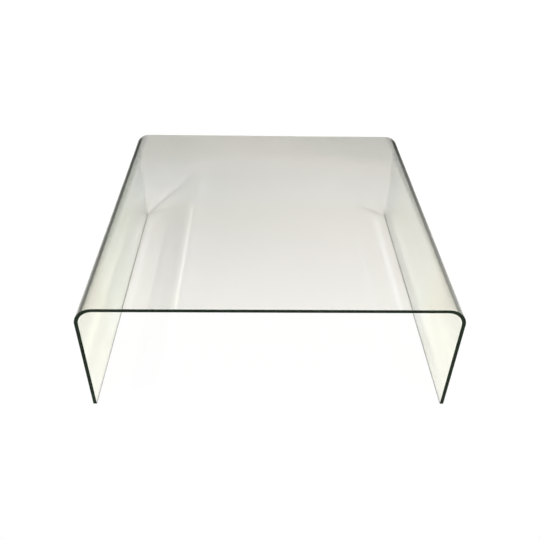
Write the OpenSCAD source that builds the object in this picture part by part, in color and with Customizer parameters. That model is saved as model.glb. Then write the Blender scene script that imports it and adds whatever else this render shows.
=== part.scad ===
// Waterfall coffee table: one sheet of clear float glass with polished edges, bent down at both
// sides in a furnace so that the same sheet makes the top and the two legs. It stands on four
// clear stick-on pads.
//
// Origin: centre of the footprint, on the floor. +Z is up, and the bends run along Y, so the
// table is open towards -Y (front) and +Y (back).

/* [Table] */
// Overall width, over the outer faces of the two legs
table_w = 1000; // [700:10:1400]
// Overall depth, along the bends
table_d = 1000; // [400:10:1400]
// Overall height, from the floor to the top face
table_h = 360; // [300:5:550]

/* [Glass sheet] */
// Thickness of the glass
glass_t = 10; // [8:1:19]
// Inner radius of the two bends
bend_r = 42; // [20:1:100]
// Width of the 45 degree arris ground along both sides of every edge
arris = 1; // [0.5:0.1:2]
// Radius of the sheet's four corners, at the front and back of each foot
corner_r = 4; // [2.5:0.5:15]

/* [Floor pads] */
// Height of the pads, which is how far they hold the glass off the floor
pad_h = 1.5; // [1:0.1:3]
// Gap from a pad's rim to the arris on each side of it
pad_margin = 0.5; // [0.3:0.1:1]
// Distance from the front or back edge of the glass to a pad's centre
pad_inset = 40; // [15:1:150]
// Radius of the soft edge round a pad's underside
pad_edge_r = 0.6; // [0.2:0.1:0.9]

/* [Hidden] */

// Which side of the middle a leg or a pad is on
LEFT = -1;
RIGHT = 1;
FRONT = -1;
BACK = 1;

// Outer radius of the bends, on the same centre as the inner one
bend_outer_r = bend_r + glass_t;
// Centre line of the right-hand bend
bend_x = table_w / 2 - bend_outer_r;
bend_z = table_h - bend_outer_r;
// Height at which the flat part of a leg starts, above the rounded corners
leg_low_z = pad_h + corner_r;
// The pads sit on the flat land that the two arrises leave along the bottom edge
land_w = glass_t - 2 * arris;
pad_d = land_w - 2 * pad_margin;
pad_x = table_w / 2 - glass_t / 2;
pad_y = table_d / 2 - pad_inset;

BEND_FN = 144;
CORNER_FN = 48;
PAD_FN = 64;

// ---- The sheet's edges ----

// An edge seen end on: reach runs out to the polished face, y runs through the glass from its
// inner face to its outer one, and a 45 degree arris breaks both corners.
module edge_profile(reach) {
    polygon([
        [0, 0],
        [reach - arris, 0],
        [reach, arris],
        [reach, glass_t - arris],
        [reach - arris, glass_t],
        [0, glass_t]
    ]);
}

// The whole sheet cut across its depth: x runs through the glass from its inner face to its
// outer one, and y from the front edge to the back edge.
module sheet_section() {
    half_d = table_d / 2;
    polygon([
        [0, arris - half_d],
        [arris, -half_d],
        [glass_t - arris, -half_d],
        [glass_t, arris - half_d],
        [glass_t, half_d - arris],
        [glass_t - arris, half_d],
        [arris, half_d],
        [0, half_d - arris]
    ]);
}

// ---- The sheet, stretch by stretch, right-hand side ----

// Flat top between the two bends
module flat_top() {
    translate([0, 0, table_h - glass_t])
        rotate([0, -90, 0])
            linear_extrude(2 * bend_x, center = true) sheet_section();
}

// Quarter bend, with its inner and outer face on one centre line
module bend() {
    translate([bend_x, 0, bend_z])
        rotate([90, 0, 0])
            rotate_extrude(angle = 90, $fn = BEND_FN)
                translate([bend_r, 0]) sheet_section();
}

// Flat leg from the bend down to the rounded corners
module leg() {
    translate([table_w / 2 - glass_t, 0, leg_low_z])
        linear_extrude(bend_z - leg_low_z) sheet_section();
}

// Bottom edge of the leg, between its two corners
module foot_edge() {
    translate([table_w / 2 - glass_t, 0, leg_low_z])
        rotate([90, 90, 0])
            linear_extrude(table_d - 2 * corner_r, center = true) edge_profile(corner_r);
}

// Rounded corner at the end of the bottom edge. The arris runs round it without a break.
module foot_corner(end) {
    mirror([0, end == FRONT ? 0 : 1, 0])
        translate([table_w / 2 - glass_t, corner_r - table_d / 2, leg_low_z])
            rotate([0, 90, 0])
                rotate([0, 0, -90])
                    rotate_extrude(angle = 90, $fn = CORNER_FN) edge_profile(corner_r);
}

module half_sheet() {
    bend();
    leg();
    foot_edge();
    foot_corner(FRONT);
    foot_corner(BACK);
}

// ---- Sub-parts ----

module bent_glass() {
    color([0.80, 0.88, 0.83, 0.4])
        union() {
            flat_top();
            half_sheet();
            mirror([1, 0, 0]) half_sheet();
        }
}

// Clear polyurethane disc, stuck to the bottom edge by its flat upper face
module floor_pad(side, end) {
    pad_r = pad_d / 2;
    color([0.92, 0.94, 0.93, 0.6])
        translate([side * pad_x, end * pad_y, 0])
            rotate_extrude($fn = PAD_FN)
                union() {
                    square([pad_r - pad_edge_r, pad_h]);
                    translate([0, pad_edge_r]) square([pad_r, pad_h - pad_edge_r]);
                    translate([pad_r - pad_edge_r, pad_edge_r]) circle(r = pad_edge_r);
                }
}

bent_glass();
floor_pad(LEFT, FRONT);  // floor_pad_front_left
floor_pad(RIGHT, FRONT);  // floor_pad_front_right
floor_pad(LEFT, BACK);  // floor_pad_back_left
floor_pad(RIGHT, BACK);  // floor_pad_back_right
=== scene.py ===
import math

import bpy
from mathutils import Matrix, Vector


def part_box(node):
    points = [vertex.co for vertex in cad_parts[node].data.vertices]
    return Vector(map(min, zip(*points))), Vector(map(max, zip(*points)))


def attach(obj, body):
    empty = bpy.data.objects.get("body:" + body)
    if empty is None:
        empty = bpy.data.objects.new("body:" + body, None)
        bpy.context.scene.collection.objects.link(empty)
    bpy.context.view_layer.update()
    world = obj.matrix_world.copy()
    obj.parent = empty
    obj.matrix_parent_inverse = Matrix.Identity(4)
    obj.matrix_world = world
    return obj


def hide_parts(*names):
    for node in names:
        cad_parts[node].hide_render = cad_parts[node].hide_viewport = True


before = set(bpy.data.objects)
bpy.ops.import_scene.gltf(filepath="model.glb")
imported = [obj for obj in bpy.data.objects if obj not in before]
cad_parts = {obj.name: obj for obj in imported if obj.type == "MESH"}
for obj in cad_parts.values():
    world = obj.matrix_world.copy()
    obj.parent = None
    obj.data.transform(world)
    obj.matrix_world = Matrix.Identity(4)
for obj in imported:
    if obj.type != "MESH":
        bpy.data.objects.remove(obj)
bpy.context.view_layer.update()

# ---- Sizes, in metres ----

GLASS_LOW, GLASS_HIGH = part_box("bent_glass")
TABLE_WIDTH = GLASS_HIGH.x - GLASS_LOW.x
TABLE_DEPTH = GLASS_HIGH.y - GLASS_LOW.y
FOOT_HEIGHT = GLASS_LOW.z
TOP_HEIGHT = GLASS_HIGH.z
GLASS_THICKNESS = 0.010
BEND_INNER_RADIUS = 0.042
ARRIS = 0.001
CORNER_RADIUS = 0.004

BEND_OUTER_RADIUS = BEND_INNER_RADIUS + GLASS_THICKNESS
# Half the flat top, and the height of the bends' centre line
TOP_REACH = TABLE_WIDTH / 2 - BEND_OUTER_RADIUS
BEND_HEIGHT = TOP_HEIGHT - BEND_OUTER_RADIUS
# The flat blank is as long as the bent sheet measures along the middle of its thickness
BEND_LENGTH = math.pi / 2 * (BEND_INNER_RADIUS + GLASS_THICKNESS / 2)
LEG_LENGTH = BEND_HEIGHT - FOOT_HEIGHT
BLANK_REACH = TOP_REACH + BEND_LENGTH + LEG_LENGTH

BEND_STEPS = 72
CORNER_STEPS = 12
FLAT_STEPS = 10
# A row this far from each bend keeps the shading of the flat glass flat
BEND_MARGIN = 0.0015
SMOOTH_BELOW = math.radians(20)

# ---- Camera ----

CAMERA_PLACE = Vector((-0.0336, -1.6431, 1.3672))
CAMERA_PITCH = math.radians(37.61)
CAMERA_YAW = math.radians(1.41)
CAMERA_ROLL = math.radians(1.13)
SENSOR_WIDTH = 36.0
FOCAL_LENGTH = 40.55


def make_camera():
    data = bpy.data.cameras.new("camera")
    data.sensor_width = SENSOR_WIDTH
    data.lens = FOCAL_LENGTH
    camera = bpy.data.objects.new("camera", data)
    bpy.context.collection.objects.link(camera)
    turn = (
        Matrix.Rotation(-CAMERA_YAW, 4, "Z")
        @ Matrix.Rotation(math.pi / 2 - CAMERA_PITCH, 4, "X")
        @ Matrix.Rotation(CAMERA_ROLL, 4, "Z")
    )
    camera.matrix_world = Matrix.Translation(CAMERA_PLACE) @ turn
    bpy.context.scene.camera = camera


# ---- Nodes ----

BLACK = (0.0, 0.0, 0.0)
WHITE = (1.0, 1.0, 1.0)


def grey(level):
    return (level, level, level)


def fill(tree, socket, value):
    """Puts a number, a colour or another node's output into a socket."""
    if isinstance(value, tuple):
        socket.default_value = value + (1,)
    elif isinstance(value, (int, float)):
        socket.default_value = value
    else:
        tree.links.new(value, socket)


def calc(tree, operation, *values):
    """One Math node."""
    node = tree.nodes.new("ShaderNodeMath")
    node.operation = operation
    for socket, value in zip(node.inputs, values):
        fill(tree, socket, value)
    return node.outputs[0]


def product(tree, *values):
    result = values[0]
    for value in values[1:]:
        result = calc(tree, "MULTIPLY", result, value)
    return result


def above(tree, value, limit):
    return calc(tree, "GREATER_THAN", value, limit)


def below(tree, value, limit):
    return calc(tree, "LESS_THAN", value, limit)


def near(tree, value, middle, reach):
    return calc(tree, "COMPARE", value, middle, reach)


def spread(tree, value, low, high, first=0.0, second=1.0):
    """Runs from first, where the value is low, to second, where it is high, and no further."""
    node = tree.nodes.new("ShaderNodeMapRange")
    given = {"Value": value, "From Min": low, "From Max": high, "To Min": first, "To Max": second}
    for name in given:
        fill(tree, node.inputs[name], given[name])
    return node.outputs["Result"]


def ramp(tree, factor, stops):
    """A colour ramp through the stops, each given as (place, colour)."""
    node = tree.nodes.new("ShaderNodeValToRGB")
    elements = node.color_ramp.elements
    for element, (place, color) in ((elements[0], stops[0]), (elements[1], stops[-1])):
        element.position = place
        element.color = color + (1,)
    for place, color in stops[1:-1]:
        elements.new(place).color = color + (1,)
    tree.links.new(factor, node.inputs[0])
    return node.outputs[0]


def mix_color(tree, share, first, second):
    node = tree.nodes.new("ShaderNodeMixRGB")
    for socket, value in zip(node.inputs, (share, first, second)):
        fill(tree, socket, value)
    return node.outputs[0]


def mix_shader(tree, share, first, second):
    node = tree.nodes.new("ShaderNodeMixShader")
    for socket, value in zip(node.inputs, (share, first, second)):
        tree.links.new(value, socket)
    return node.outputs[0]


def parts(tree, vector):
    node = tree.nodes.new("ShaderNodeSeparateXYZ")
    tree.links.new(vector, node.inputs[0])
    return node.outputs


def place_on(tree):
    return tree.nodes.new("ShaderNodeTexCoord").outputs["Object"]


def noise(tree, size, detail, stretch=(1.0, 1.0, 1.0)):
    """Soft noise from 0 to 1, with lumps about this many metres across."""
    lay = tree.nodes.new("ShaderNodeMapping")
    tree.links.new(place_on(tree), lay.inputs["Vector"])
    lay.inputs["Scale"].default_value = stretch
    node = tree.nodes.new("ShaderNodeTexNoise")
    tree.links.new(lay.outputs[0], node.inputs["Vector"])
    node.inputs["Scale"].default_value = 1 / size
    node.inputs["Detail"].default_value = detail
    return node.outputs["Fac"]


def new_material(name):
    material = bpy.data.materials.new(name)
    material.use_nodes = True
    material.node_tree.nodes.clear()
    return material, material.node_tree


def finish_material(tree, surface, volume=None):
    out = tree.nodes.new("ShaderNodeOutputMaterial")
    tree.links.new(surface, out.inputs["Surface"])
    if volume:
        tree.links.new(volume, out.inputs["Volume"])


# ---- The sheet of glass ----

def blank_stations():
    """Rows along the flat blank, from its left end to its right end, as (place, turn): turn is the
    angle round a corner, and 0 along the straight sides."""
    flat = [TOP_REACH * i / FLAT_STEPS for i in range(FLAT_STEPS)]
    bend = [TOP_REACH + BEND_LENGTH * i / BEND_STEPS for i in range(BEND_STEPS + 1)]
    leg_start = TOP_REACH + BEND_LENGTH
    leg_end = BLANK_REACH - CORNER_RADIUS
    leg = [leg_start + (leg_end - leg_start) * i / FLAT_STEPS for i in range(1, FLAT_STEPS + 1)]
    held = [TOP_REACH - BEND_MARGIN, leg_start + BEND_MARGIN]
    corner = [math.pi / 2 * i / CORNER_STEPS for i in range(1, CORNER_STEPS + 1)]
    half = [(place, 0.0) for place in sorted(flat + held + bend + leg)]
    half += [(leg_end, turn) for turn in corner]
    return [(-place, -turn) for place, turn in reversed(half[1:])] + half


def make_blank():
    """The flat blank as cut and ground: a plate with rounded corners and an arris along both
    sides of its edge. X runs along the table's width, Y along its depth, Z through the glass."""
    levels = [
        (0.0, CORNER_RADIUS - ARRIS),
        (ARRIS, CORNER_RADIUS),
        (GLASS_THICKNESS - ARRIS, CORNER_RADIUS),
        (GLASS_THICKNESS, CORNER_RADIUS - ARRIS),
    ]
    core_depth = TABLE_DEPTH / 2 - CORNER_RADIUS
    stations = blank_stations()
    points = []
    for place, turn in stations:
        for side in (-1, 1):
            for height, radius in levels:
                x = place + radius * math.sin(turn)
                y = side * (core_depth + radius * math.cos(turn))
                points.append((x, y, height))

    def at(station, side, level):
        return (station * 2 + side) * len(levels) + level

    faces = []
    last = len(stations) - 1
    top = len(levels) - 1
    for i in range(last):
        faces.append((at(i, 0, 0), at(i, 1, 0), at(i + 1, 1, 0), at(i + 1, 0, 0)))
        faces.append((at(i, 0, top), at(i + 1, 0, top), at(i + 1, 1, top), at(i, 1, top)))
        for k in range(top):
            faces.append((at(i, 0, k), at(i + 1, 0, k), at(i + 1, 0, k + 1), at(i, 0, k + 1)))
            faces.append((at(i, 1, k), at(i, 1, k + 1), at(i + 1, 1, k + 1), at(i + 1, 1, k)))
    for k in range(top):
        faces.append((at(0, 0, k), at(0, 0, k + 1), at(0, 1, k + 1), at(0, 1, k)))
        faces.append((at(last, 0, k), at(last, 1, k), at(last, 1, k + 1), at(last, 0, k + 1)))
    mesh = bpy.data.meshes.new("blank")
    mesh.from_pydata(points, [], faces)
    return mesh


def bending_tree():
    """Bends a flat blank down at both sides over round formers, on one centre line each."""
    tree = bpy.data.node_groups.new("bend_over_formers", "GeometryNodeTree")
    face = tree.interface
    face.new_socket("Geometry", in_out="OUTPUT", socket_type="NodeSocketGeometry")
    face.new_socket("Blank", in_out="INPUT", socket_type="NodeSocketGeometry")
    for name in ("Top reach", "Bend length", "Bend inner radius", "Bend height"):
        face.new_socket(name, in_out="INPUT", socket_type="NodeSocketFloat")
    face.new_socket("Glass", in_out="INPUT", socket_type="NodeSocketMaterial")
    nodes, links = tree.nodes, tree.links
    given = nodes.new("NodeGroupInput").outputs
    result = nodes.new("NodeGroupOutput")

    split = nodes.new("ShaderNodeSeparateXYZ")
    links.new(nodes.new("GeometryNodeInputPosition").outputs[0], split.inputs[0])
    along, across, through = split.outputs
    reach = calc(tree, "ABSOLUTE", along)
    past_top = calc(tree, "SUBTRACT", reach, given["Top reach"])
    share = calc(tree, "DIVIDE", past_top, given["Bend length"])
    share = calc(tree, "MINIMUM", calc(tree, "MAXIMUM", share, 0.0), 1.0)
    turn = calc(tree, "MULTIPLY", share, math.pi / 2)
    down_leg = calc(tree, "MAXIMUM", calc(tree, "SUBTRACT", past_top, given["Bend length"]), 0.0)
    radius = calc(tree, "ADD", given["Bend inner radius"], through)
    out = calc(tree, "MULTIPLY", radius, calc(tree, "SINE", turn))
    out = calc(tree, "ADD", calc(tree, "MINIMUM", reach, given["Top reach"]), out)
    up = calc(tree, "MULTIPLY", radius, calc(tree, "COSINE", turn))
    up = calc(tree, "SUBTRACT", calc(tree, "ADD", given["Bend height"], up), down_leg)

    join = nodes.new("ShaderNodeCombineXYZ")
    links.new(calc(tree, "MULTIPLY", out, calc(tree, "SIGN", along)), join.inputs[0])
    links.new(across, join.inputs[1])
    links.new(up, join.inputs[2])
    place = nodes.new("GeometryNodeSetPosition")
    links.new(given["Blank"], place.inputs["Geometry"])
    links.new(join.outputs[0], place.inputs["Position"])
    real = nodes.new("GeometryNodeRealizeInstances")
    links.new(place.outputs[0], real.inputs[0])
    finish = nodes.new("GeometryNodeSetMaterial")
    links.new(real.outputs[0], finish.inputs["Geometry"])
    links.new(given["Glass"], finish.inputs["Material"])
    links.new(finish.outputs[0], result.inputs[0])
    return tree


def make_sheet(glass):
    sheet = bpy.data.objects.new("glass_sheet", make_blank())
    bpy.context.collection.objects.link(sheet)
    tree = bending_tree()
    bending = sheet.modifiers.new("bending", "NODES")
    bending.node_group = tree
    values = {
        "Top reach": TOP_REACH,
        "Bend length": BEND_LENGTH,
        "Bend inner radius": BEND_INNER_RADIUS,
        "Bend height": BEND_HEIGHT,
        "Glass": glass,
    }
    for item in tree.interface.items_tree:
        if item.in_out == "INPUT" and item.name in values:
            bending[item.identifier] = values[item.name]
    seen = sheet.evaluated_get(bpy.context.evaluated_depsgraph_get())
    bent = bpy.data.meshes.new_from_object(seen)
    sheet.modifiers.clear()
    sheet.data = bent
    bent.shade_smooth()
    bent.set_sharp_from_angle(angle=SMOOTH_BELOW)
    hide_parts("bent_glass")
    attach(sheet, "root")


# ---- Glass ----

# A slant is 0 where a face is square to the ray and 1 where it is edge-on. A range is written as
# spread takes it: from and to, and then the values at both, where those aren't 0 and 1.

# Painted shade on the polished upward face, by its slant to the eye: darker the flatter the eye
# looks along it. The shader lets through the root of a colour, so these are the shares squared.
TOP_SLANT_SHADE = [
    (0.0, WHITE),
    (0.34, (1.0, 0.985, 0.975)),
    (0.375, (0.965, 0.935, 0.945)),
    (0.41, (0.918, 0.88, 0.895)),
    (0.46, (0.82, 0.797, 0.758)),
    (0.50, (0.73, 0.71, 0.69)),
    (0.535, (0.635, 0.606, 0.565)),
    (0.555, (0.525, 0.502, 0.452)),
    (0.60, (0.405, 0.392, 0.355)),
    (1.0, (0.30, 0.29, 0.265)),
]
# How far a face's normal has to point up for it
SLANT_SHADE_UP = (0.05, 0.35)
# Away from the middle it counts as less slanted, by this much of the distance squared, and by less
# and less up to the slant where that ends
SIDE_EASE = 1.4
SIDE_EASE_END = 0.55
# Lumps in the painted shade, their size and how much slant they add or take
CLOUD_SIZE = 0.16
CLOUD_DEPTH = 0.012
# Where the top is shaded besides, from its left end, 0, to its right end, 1. This fades out at one
# slant, and a shade at the left and one at the right come in at others.
SHADE_ACROSS = [
    (0.0, grey(0.1)),
    (0.15, grey(0.1)),
    (0.21, grey(1.0)),
    (0.34, grey(1.0)),
    (0.70, grey(0.2)),
    (1.0, grey(0.2)),
]
SHADE_ACROSS_SLANT = (0.52, 0.56, 1.0, 0.0)
SHADE_LEFT_PLACE = (-0.15, -0.30)
SHADE_LEFT_SLANT = (0.485, 0.515)
SHADE_LEFT_EASE = (0.54, 0.56, 1.0, 0.6)
SHADE_RIGHT_PLACE = (0.05, 0.30)
SHADE_RIGHT_SLANT = (0.535, 0.555)
SHADE_RIGHT_SHARE = 0.5
SHADE_DEPTH = (0.30, 0.45, 0.0, 0.17)
SHADE_COLOR = (0.0, 0.12, 0.18)

# The share that a leg lets through at a glancing look, from its front edge, 0, to its back edge, 1:
# the glass's faint tint with painted shade along it, darkest near the back edge
LEG_TINT_AND_SHADE = [
    (0.0, (0.97, 0.966, 0.89)),
    (0.20, (0.97, 0.966, 0.89)),
    (0.35, (0.975, 1.0, 0.985)),
    (0.60, (0.97, 1.0, 1.0)),
    (0.75, (0.965, 0.99, 1.0)),
    (0.93, (0.86, 0.885, 0.93)),
    (0.96, (0.85, 0.88, 0.925)),
    (0.985, WHITE),
    (1.0, WHITE),
]
# Painted shade on the left leg alone, towards a dark green, along it in the same way
LEFT_LEG_PAINTED_SHADE = [
    (0.0, grey(0.0)),
    (0.12, grey(0.0)),
    (0.25, grey(0.03)),
    (0.42, grey(0.075)),
    (0.65, grey(0.07)),
    (0.85, grey(0.0)),
    (0.92, grey(0.02)),
    (0.96, grey(0.06)),
    (1.0, grey(0.0)),
]
LEFT_LEG_SHADE_COLOR = (0.1, 0.38, 0.0)
# Towards the front, both legs get painted light low down and painted shade just under the bend
LEG_FRONT_PLACE = (-0.25, -0.38)
LEG_LOW_HEIGHT = (0.13, 0.05)
LEG_LOW_PAINTED_LIGHT = (0.998, 0.998, 0.93)
LEG_HIGH_PAINTED_SHADE = (0.20, 0.27, 0.0, 0.105)
# Seen square on, a leg shows no more than the faint green of clear glass
LEG_SQUARE_ON = (0.93, 0.98, 0.95)
LEG_GLANCE = (0.35, 0.65)

# The ground and polished edges, which show the glass's own dark green
EDGE_STREAK = 0.012
EDGE_DARK = (0.004, 0.012, 0.005)
EDGE_PALE = (0.012, 0.028, 0.011)
# How much of that green shows on the polished edge and on its arrises. Their normals run along the
# depth, the arrises' by more than the first of these and the edge's by more than the second.
EDGE_SHARE = 0.70
ARRIS_SHARE = 0.98
ARRIS_TURN = 0.1
EDGE_TURN = 0.9
# The bottom edge of a leg, whose dark line is partly the glass's own green and partly painted
# contact shade, shows less of it at the front. Its normal points down by this much.
FOOT_TURN = 0.1
FOOT_TOP = FOOT_HEIGHT + CORNER_RADIUS + 0.0002
FOOT_FRONT_SHARE = {"left": 0.22, "right": 0.42}
FOOT_PLACE = (-TABLE_DEPTH / 2, 0.1)

# Furnace bending leaves the glass faintly wavy, from a little before each bend
WAVE_SIZE = 0.05
WAVE_STRETCH = (1.0, 0.4, 1.0)
WAVE_DEPTH = 0.0001
WAVE_STRENGTH = (TOP_REACH - 0.04, TOP_REACH + 0.02, 0.0, 0.05)

GLASS_IOR = 1.52
GLASS_COLOR = (0.86, 0.87, 0.62)
GLASS_DENSITY = 10.0


def read_glass(tree):
    """The values that the parts of the glass are worked out from, as outputs by name."""
    geometry = tree.nodes.new("ShaderNodeNewGeometry")
    normal = parts(tree, geometry.outputs["Normal"])
    x, y, z = parts(tree, place_on(tree))
    return {
        "x": x,
        "y": y,
        "z": z,
        "from_left_end": spread(tree, x, -TABLE_WIDTH / 2, TABLE_WIDTH / 2),
        "from_front": spread(tree, y, -TABLE_DEPTH / 2, TABLE_DEPTH / 2),
        "off_middle": calc(tree, "ABSOLUTE", x),
        "left": below(tree, x, 0.0),
        "above_leg": above(tree, z, BEND_HEIGHT),
        "normal_x": normal[0],
        "normal_z": normal[2],
        "across": calc(tree, "ABSOLUTE", normal[1]),
        "upright": calc(tree, "ABSOLUTE", normal[2]),
        "inside": geometry.outputs["Backfacing"],
        "slant": tree.nodes.new("ShaderNodeLayerWeight").outputs["Facing"],
    }


def top_shade(tree, at):
    """How much painted shade the top takes besides the shade by slant, uneven from side to side."""
    x, slant = at["x"], at["slant"]
    middle = product(tree, ramp(tree, at["from_left_end"], SHADE_ACROSS),
                     spread(tree, slant, *SHADE_ACROSS_SLANT))
    left = product(tree, spread(tree, x, *SHADE_LEFT_PLACE),
                   spread(tree, slant, *SHADE_LEFT_SLANT), spread(tree, slant, *SHADE_LEFT_EASE))
    right = product(tree, spread(tree, x, *SHADE_RIGHT_PLACE),
                    spread(tree, slant, *SHADE_RIGHT_SLANT), SHADE_RIGHT_SHARE)
    share = calc(tree, "MAXIMUM", calc(tree, "MAXIMUM", middle, left), right)
    return product(tree, share, spread(tree, slant, *SHADE_DEPTH))


# Painted shade on the top: darker the flatter the eye looks along it, with lumps
def top_painted_shade(tree, at):
    left_over = calc(tree, "MAXIMUM", calc(tree, "SUBTRACT", SIDE_EASE_END, at["slant"]), 0.0)
    ease = product(tree, at["x"], at["x"], left_over, SIDE_EASE)
    cloud = noise(tree, CLOUD_SIZE, detail=2.0)
    cloud = spread(tree, cloud, 0, 1, -CLOUD_DEPTH / 2, CLOUD_DEPTH / 2)
    slant = calc(tree, "ADD", calc(tree, "SUBTRACT", at["slant"], ease), cloud)
    return mix_color(tree, top_shade(tree, at), ramp(tree, slant, TOP_SLANT_SHADE), SHADE_COLOR)


# The legs' faint tint, with painted shade and painted light over it
def leg_tint_and_shade(tree, at):
    # Painted shade on the left leg alone
    loss = product(tree, at["left"], ramp(tree, at["from_front"], LEFT_LEG_PAINTED_SHADE))
    tint_and_shade = mix_color(tree, loss, ramp(tree, at["from_front"], LEG_TINT_AND_SHADE), LEFT_LEG_SHADE_COLOR)
    # Towards the front: painted light low down, painted shade just under the bend
    front = spread(tree, at["y"], *LEG_FRONT_PLACE)
    low = product(tree, front, spread(tree, at["z"], *LEG_LOW_HEIGHT))
    tint_and_shade = mix_color(tree, low, tint_and_shade, LEG_LOW_PAINTED_LIGHT)
    high = product(tree, front, spread(tree, at["z"], *LEG_HIGH_PAINTED_SHADE))
    tint_and_shade = mix_color(tree, high, tint_and_shade, BLACK)
    # Squared, as the shader lets through the root, and given only where the look enters the glass
    squared = tree.nodes.new("ShaderNodeGamma")
    squared.inputs["Gamma"].default_value = 2.0
    tree.links.new(tint_and_shade, squared.inputs["Color"])
    glance = spread(tree, at["slant"], *LEG_GLANCE)
    tint_and_shade = mix_color(tree, glance, LEG_SQUARE_ON, squared.outputs[0])
    return mix_color(tree, at["inside"], tint_and_shade, WHITE)


def foot_face(tree, at):
    """1 on the ground edge along the bottom of each leg, and 0 elsewhere."""
    return product(tree, above(tree, at["upright"], FOOT_TURN), below(tree, at["z"], FOOT_TOP))


def edge_share(tree, at, foot):
    """How much of an edge isn't plain glass: none of the front edge where it is met from within."""
    arris = below(tree, at["across"], EDGE_TURN)
    share = spread(tree, arris, 0, 1, EDGE_SHARE, ARRIS_SHARE)
    seen = mix_color(tree, at["inside"], WHITE, above(tree, at["y"], 0.0))
    edge = product(tree, above(tree, at["across"], ARRIS_TURN), share, seen)
    # The bottom edge's darkness is partly painted contact shade
    front = spread(tree, at["left"], 0, 1, FOOT_FRONT_SHARE["right"], FOOT_FRONT_SHARE["left"])
    bottom = product(tree, foot, spread(tree, at["y"], *FOOT_PLACE, front, 1.0))
    return calc(tree, "MAXIMUM", edge, bottom)


# ---- The light that comes through the glass to the floor ----

# Each lamp's azimuth, elevation, strength and width, with the angles in degrees. Azimuth 0 is at
# the front and grows to the right.
SUNS = {
    "high_left": (-60, 69, 0.60, 1),
    "front_left": (-26, 37, 1.25, 5),
    "high_right": (51, 65, 0.83, 1.5),
    "front": (2.2, 55, 0.59, 1.5),
}
# A lamp is told from the others by the slant at which it meets the glass. Where a shape comes from
# one or two lamps alone, its LAMP is their slant and how far they may be off it.

# What one face of clear glass lets through
FACE_KEEPS = (0.966, 0.960, 0.955)
# The left leg holds back the lamps to the left of it, by this power of the slant, and most at
# the back
LEG_POWER = 5.0
LEG_BACK = (0.0, 0.45)
# The left bend holds back this much, where its faces are upright and where they are level,
BAND_LOSS = (0, 1, 0.78, 0.42)
# of light up to a slant that falls from the first, where they are upright, to the second,
BAND_SLANT_MOST = 0.66
BAND_SLANT_LEAST = 0.28
# and so does the top of the leg under it, from this height, for the high left lamp alone.
BAND_FOOT = 0.283
BAND_FOOT_UPRIGHT = 0.02
BAND_FOOT_LAMP = (0.69, 0.012)
BAND_FOOT_LOSS = 0.9
# Both hold back less at the back
BAND_FADE = (0.25, 0.46, 1.0, 0.5)
# Light that the right-hand lamp loses just inside the left bend
DIP_START = -0.436
DIP_LOSS = (-0.432, -0.385, 0.5, 0.0)
DIP_LAMP = (0.094, 0.013)
# Lines of light that the left bend gathers: the distance from the middle and half the line's
# width, the lamp, and the light
LINES = [
    ((TOP_REACH - 0.018, 0.005), (0.0664, 0.0135), (1.65, 1.65, 1.6)),
    ((TOP_REACH, 0.010), (0.115, 0.033), (1.3, 1.3, 1.25)),
    ((TOP_REACH + 0.0365, 0.0125), (0.355, 0.065), (1.1, 1.1, 1.1)),
]
# The soft line beside both legs. Its share of the light falls off to both sides and at the back.
SOFT_LINE_MIDDLE = TOP_REACH + 0.0185
SOFT_LINE_SHARE = (0.007, 0.025, 0.9, 0.0)
SOFT_LINE_LAMP = (0.2075, 0.0575)
SOFT_LINE_END = (0.21, 0.27, 1.0, 0.0)
SOFT_LINE_LIGHT = (1.46, 1.49, 1.56)
# The strip of shadow outside the foot of the right leg. It is as wide for a low lamp as for a
# high one, so it comes from less of the leg's height for the low one.
STRIP_HEIGHT = (0.65, 0.69, 0.040, 0.068)
STRIP_LAMP = (0.66, 0.09)
STRIP_LOSS = 0.86
# The legs' ground edges that face down and back hold back this much, the back ones less higher up
RIM_START = TABLE_DEPTH / 2 - 0.012
RIM_FADE = (0.12, 0.30, 1.0, 0.25)
RIM_LOSS = 0.9


def bend_losses(tree, at, from_left):
    """What the left bend and the top of its leg hold back: the dark band beside the foot."""
    slant, upright = at["slant"], at["upright"]
    in_bend = product(tree, above(tree, at["off_middle"], TOP_REACH), at["above_leg"])
    falling = calc(tree, "MULTIPLY_ADD", upright, -BAND_SLANT_MOST, BAND_SLANT_MOST)
    limit = calc(tree, "MAXIMUM", falling, BAND_SLANT_LEAST)
    band = product(tree, in_bend, below(tree, slant, limit), at["left"],
                   spread(tree, upright, *BAND_LOSS))
    leg = product(tree, above(tree, at["z"], BAND_FOOT), at["left"], from_left,
                  below(tree, upright, BAND_FOOT_UPRIGHT), near(tree, slant, *BAND_FOOT_LAMP))
    both = calc(tree, "MAXIMUM", band, product(tree, leg, BAND_FOOT_LOSS))
    return product(tree, both, spread(tree, at["y"], *BAND_FADE))


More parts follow.
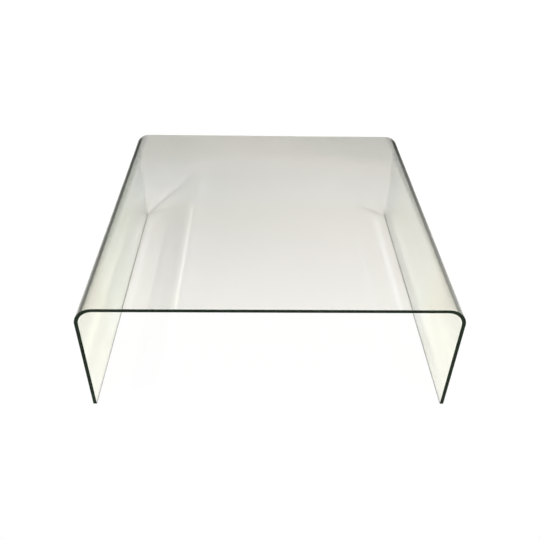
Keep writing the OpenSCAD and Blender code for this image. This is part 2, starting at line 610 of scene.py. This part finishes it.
def lamp_light(tree, at, foot):
    """What a lamp's light keeps as it crosses one face on its way to the floor. The sheet counts
    as clear for it, and the shapes of its shadow are given here. Each is told by its place on the
    glass and by the slant at which that lamp meets the face."""
    slant, off_middle = at["slant"], at["off_middle"]
    from_left = above(tree, at["normal_x"], 0.0)
    leg = product(tree, calc(tree, "POWER", slant, LEG_POWER), at["left"], from_left,
                  spread(tree, at["y"], *LEG_BACK))
    dip = product(tree, near(tree, slant, *DIP_LAMP), at["above_leg"],
                  above(tree, at["x"], DIP_START), spread(tree, at["x"], *DIP_LOSS))
    light = FACE_KEEPS
    for loss in (leg, bend_losses(tree, at, from_left), dip):
        light = mix_color(tree, loss, light, BLACK)

    for place, lamp, color in LINES:
        line = product(tree, near(tree, off_middle, *place), near(tree, slant, *lamp),
                       at["left"], at["above_leg"])
        light = mix_color(tree, line, light, color)
    aside = calc(tree, "ABSOLUTE", calc(tree, "SUBTRACT", off_middle, SOFT_LINE_MIDDLE))
    soft = product(tree, spread(tree, aside, *SOFT_LINE_SHARE), near(tree, slant, *SOFT_LINE_LAMP),
                   at["above_leg"], spread(tree, at["y"], *SOFT_LINE_END))
    light = mix_color(tree, soft, light, SOFT_LINE_LIGHT)

    strip = product(tree, above(tree, at["x"], 0.0), from_left, near(tree, slant, *STRIP_LAMP),
                    below(tree, at["z"], spread(tree, slant, *STRIP_HEIGHT)), STRIP_LOSS)
    rim = product(tree, above(tree, at["y"], RIM_START), spread(tree, at["z"], *RIM_FADE),
                  calc(tree, "SUBTRACT", 1.0, at["above_leg"]))
    edges = product(tree, calc(tree, "MAXIMUM", rim, foot), RIM_LOSS)
    return mix_color(tree, edges, mix_color(tree, strip, light, BLACK), BLACK)


def glass_material():
    material, tree = new_material("clear_float_glass")
    nodes, links = tree.nodes, tree.links
    at = read_glass(tree)
    foot = foot_face(tree, at)

    wave = nodes.new("ShaderNodeBump")
    wave.inputs["Distance"].default_value = WAVE_DEPTH
    links.new(spread(tree, at["off_middle"], *WAVE_STRENGTH), wave.inputs["Strength"])
    links.new(noise(tree, WAVE_SIZE, detail=1.0, stretch=WAVE_STRETCH), wave.inputs["Height"])
    glass = nodes.new("ShaderNodeBsdfPrincipled")
    glass.inputs["Transmission Weight"].default_value = 1.0
    glass.inputs["Roughness"].default_value = 0.0
    glass.inputs["IOR"].default_value = GLASS_IOR
    faces_up = spread(tree, at["normal_z"], *SLANT_SHADE_UP)
    # Base colour: painted shade on the top, tint and painted shade on the legs
    tint_and_shade = mix_color(tree, faces_up, leg_tint_and_shade(tree, at), top_painted_shade(tree, at))
    links.new(tint_and_shade, glass.inputs["Base Color"])
    links.new(wave.outputs[0], glass.inputs["Normal"])

    # Met from within, an edge is clear, but for the one along the bottom of a leg
    green = nodes.new("ShaderNodeBsdfDiffuse")
    streaks = mix_color(tree, noise(tree, EDGE_STREAK, detail=3.0), EDGE_DARK, EDGE_PALE)
    links.new(streaks, green.inputs["Color"])
    clear = nodes.new("ShaderNodeBsdfTransparent")
    from_within = product(tree, at["inside"], calc(tree, "SUBTRACT", 1.0, foot))
    edge = mix_shader(tree, from_within, green.outputs[0], clear.outputs[0])
    body = mix_shader(tree, edge_share(tree, at, foot), glass.outputs[0], edge)

    through = nodes.new("ShaderNodeBsdfTransparent")
    links.new(lamp_light(tree, at, foot), through.inputs[0])
    path = nodes.new("ShaderNodeLightPath")
    body = mix_shader(tree, path.outputs["Is Diffuse Ray"], body, through.outputs[0])
    body = mix_shader(tree, path.outputs["Is Shadow Ray"], body, through.outputs[0])

    volume = nodes.new("ShaderNodeVolumeAbsorption")
    volume.inputs["Color"].default_value = GLASS_COLOR + (1,)
    volume.inputs["Density"].default_value = GLASS_DENSITY
    finish_material(tree, body, volume.outputs[0])
    return material


# ---- Pads ----

PAD_CLOUD = 0.002
PAD_MILKY = (0.80, 0.84, 0.81)
PAD_CLEAR = (0.95, 0.97, 0.95)
PAD_ROUGHNESS = (0.3, 0.7, 0.12, 0.28)
PAD_TRANSMISSION = 0.9
PAD_IOR = 1.48


def pad_material():
    """Clear soft polyurethane with a faint milky cloud in it and a slightly uneven gloss."""
    material, tree = new_material("clear_polyurethane")
    pad = tree.nodes.new("ShaderNodeBsdfPrincipled")
    cloud = noise(tree, PAD_CLOUD, detail=2.0)
    tree.links.new(mix_color(tree, cloud, PAD_MILKY, PAD_CLEAR), pad.inputs["Base Color"])
    tree.links.new(spread(tree, cloud, *PAD_ROUGHNESS), pad.inputs["Roughness"])
    pad.inputs["Transmission Weight"].default_value = PAD_TRANSMISSION
    pad.inputs["IOR"].default_value = PAD_IOR
    finish_material(tree, pad.outputs[0])
    return material


# ---- Floor and boards ----

FLOOR_SIZE = 60.0
FLOOR_COLOR = (0.97, 0.97, 0.97)
# How much of the floor is plain white, from the back to the front: seen bare, and through the
# glass under the table and up to its front
FLOOR_BARE = (0.0, -0.12, 0.25, 0.9)
FLOOR_UNDER = (0.1, -0.1, 0.25, 0.42)
FLOOR_FRONT_PLACE = (-0.25, -0.42)
FLOOR_FRONT = 0.75

FLAG_AWAY = 0.95
FLAG_FRONT = -1.5
FLAG_BACK = 3.0
FLAG_LOW = 0.002
FLAG_HIGH = 1.2
# The dark boards' levels up to the middle of the table, left and right, and from a place behind it
FLAG_LEFT = 0.30
FLAG_RIGHT = 0.50
FLAG_BEHIND = 0.06
FLAG_FADE_PLACE = (0.0, 1.4)


def make_board(name, corners, material):
    """A flat board that isn't part of the table."""
    mesh = bpy.data.meshes.new(name)
    mesh.from_pydata(corners, [], [(0, 1, 2, 3)])
    mesh.materials.append(material)
    board = bpy.data.objects.new(name, mesh)
    bpy.context.collection.objects.link(board)
    return board


def floor_material():
    """Pale floor that shows white to the camera and through the glass, and keeps part of the
    shadow."""
    material, tree = new_material("pale_floor")
    lit = tree.nodes.new("ShaderNodeBsdfDiffuse")
    lit.inputs["Color"].default_value = FLOOR_COLOR + (1,)
    white = tree.nodes.new("ShaderNodeEmission")
    path = tree.nodes.new("ShaderNodeLightPath").outputs
    y = parts(tree, place_on(tree))[1]
    bare = product(tree, path["Is Camera Ray"], spread(tree, y, *FLOOR_BARE))
    glazed = calc(tree, "MAXIMUM", path["Is Glossy Ray"], path["Is Transmission Ray"])
    under = spread(tree, y, *FLOOR_UNDER)
    glazed = product(tree, glazed, spread(tree, y, *FLOOR_FRONT_PLACE, under, FLOOR_FRONT))
    share = calc(tree, "MAXIMUM", bare, glazed)
    finish_material(tree, mix_shader(tree, share, lit.outputs[0], white.outputs[0]))
    return material


def make_floor():
    half = FLOOR_SIZE / 2
    corners = [(-half, -half, 0), (half, -half, 0), (half, half, 0), (-half, half, 0)]
    make_board("floor", corners, floor_material())


def make_flags():
    """A dark board at each side, seen only in the gloss of the glass, darker to the back."""
    material, tree = new_material("dark_flag")
    clear = tree.nodes.new("ShaderNodeBsdfTransparent")
    board = tree.nodes.new("ShaderNodeEmission")
    x, y, z = parts(tree, place_on(tree))
    level = spread(tree, x, -FLAG_AWAY, FLAG_AWAY, FLAG_LEFT, FLAG_RIGHT)
    level = spread(tree, y, *FLAG_FADE_PLACE, level, FLAG_BEHIND)
    tree.links.new(level, board.inputs["Color"])
    path = tree.nodes.new("ShaderNodeLightPath")
    in_gloss = above(tree, path.outputs["Glossy Depth"], 0.0)
    finish_material(tree, mix_shader(tree, in_gloss, clear.outputs[0], board.outputs[0]))
    for away in (-FLAG_AWAY, FLAG_AWAY):
        corners = [(away, FLAG_FRONT, FLAG_LOW), (away, FLAG_BACK, FLAG_LOW)]
        corners += [(away, FLAG_BACK, FLAG_HIGH), (away, FLAG_FRONT, FLAG_HIGH)]
        flag = make_board("flag", corners, material)
        flag.visible_camera = False
        flag.visible_diffuse = False
        flag.visible_shadow = False


# ---- Lamps and surroundings ----

# The studio's walls and ceiling, from the level of the floor, 0, to straight above, 1
SURROUNDINGS = [
    (0.0, grey(1.0)),
    (0.14, grey(1.0)),
    (0.30, grey(0.12)),
    (0.42, grey(0.08)),
    (0.60, grey(0.15)),
    (0.75, grey(0.20)),
    (0.85, grey(0.40)),
    (1.0, grey(0.45)),
]


def make_sun(name, azimuth, elevation, strength, width):
    data = bpy.data.lights.new(name, "SUN")
    data.energy = strength
    data.angle = math.radians(width)
    data.cycles.use_multiple_importance_sampling = False
    lamp = bpy.data.objects.new(name, data)
    bpy.context.collection.objects.link(lamp)
    a, e = math.radians(azimuth), math.radians(elevation)
    towards = Vector((math.sin(a) * math.cos(e), -math.cos(a) * math.cos(e), math.sin(e)))
    lamp.rotation_mode = "QUATERNION"
    lamp.rotation_quaternion = towards.to_track_quat("Z", "Y")


def make_world():
    world = bpy.data.worlds.new("studio")
    world.use_nodes = True
    tree = world.node_tree
    tree.nodes.clear()
    sky = tree.nodes.new("ShaderNodeTexCoord").outputs["Generated"]
    back = tree.nodes.new("ShaderNodeBackground")
    tree.links.new(ramp(tree, parts(tree, sky)[2], SURROUNDINGS), back.inputs["Color"])
    out = tree.nodes.new("ShaderNodeOutputWorld")
    tree.links.new(back.outputs[0], out.inputs[0])
    bpy.context.scene.world = world


def main():
    bpy.context.scene.view_settings.view_transform = "Standard"
    make_camera()
    make_sheet(glass_material())
    pads = pad_material()
    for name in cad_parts:
        if name.startswith("floor_pad"):
            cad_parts[name].material_slots[0].material = pads
    make_floor()
    make_flags()
    make_world()
    for name, sun in SUNS.items():
        make_sun(name, *sun)


main()
